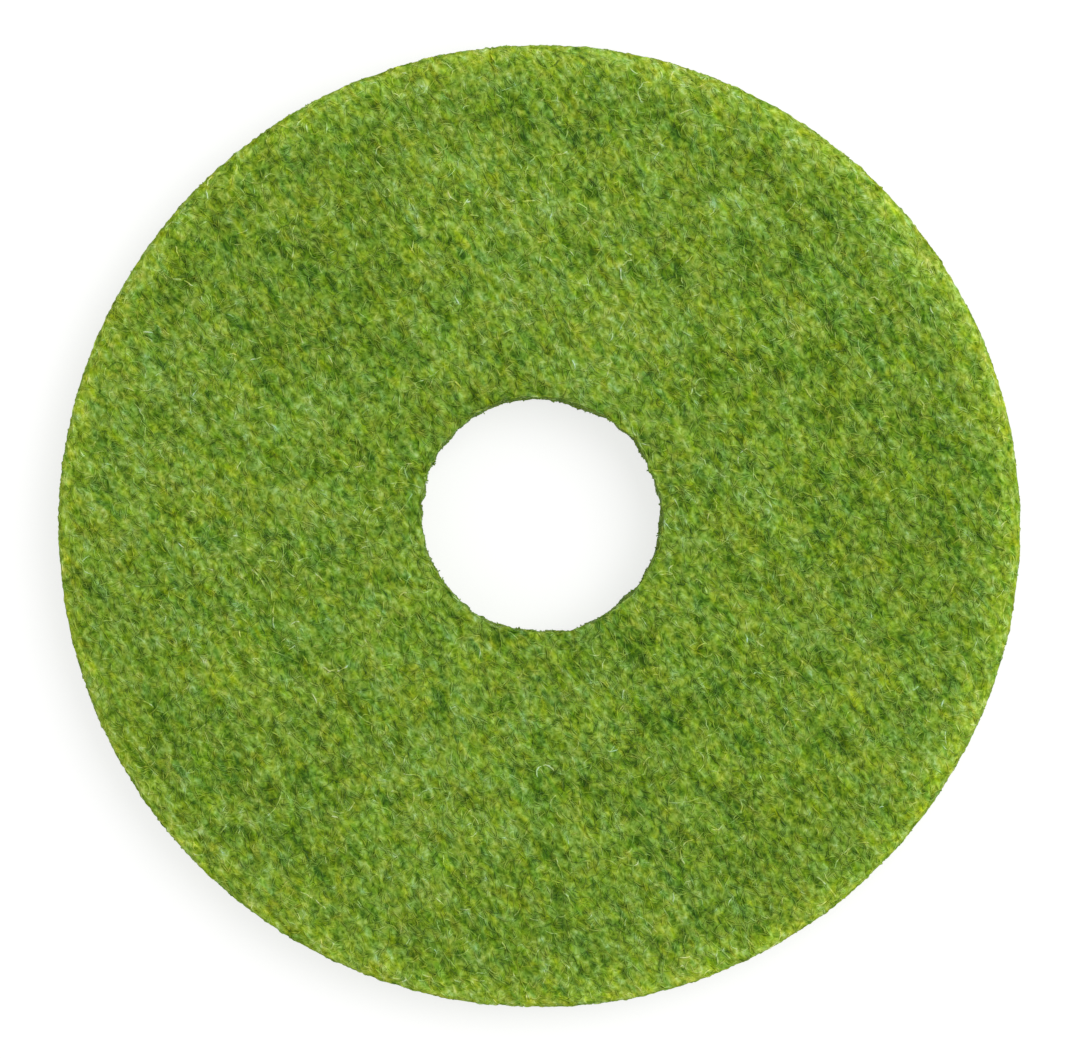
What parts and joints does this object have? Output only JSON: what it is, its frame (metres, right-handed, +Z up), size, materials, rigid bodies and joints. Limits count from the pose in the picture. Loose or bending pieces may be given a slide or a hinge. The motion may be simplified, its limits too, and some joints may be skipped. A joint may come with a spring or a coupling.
{
  "type": "floor polishing pad",
  "caption": "Round pad of matted, springy fibre web with a punched centre hole, driven flat on the floor by a rotary floor machine.",
  "frame": {"origin": "middle of the rim's circle, on the face that lies on the floor", "axes": "+Z up through the pad's thickness, away from the floor; the punched hole's middle lies towards +Y of the origin"},
  "size_m": [0.33, 0.33, 0.025],
  "materials": {
    "web": "matte"
  },
  "bodies": {
    "root": {"pad": "web"}
  },
  "joints": []
}
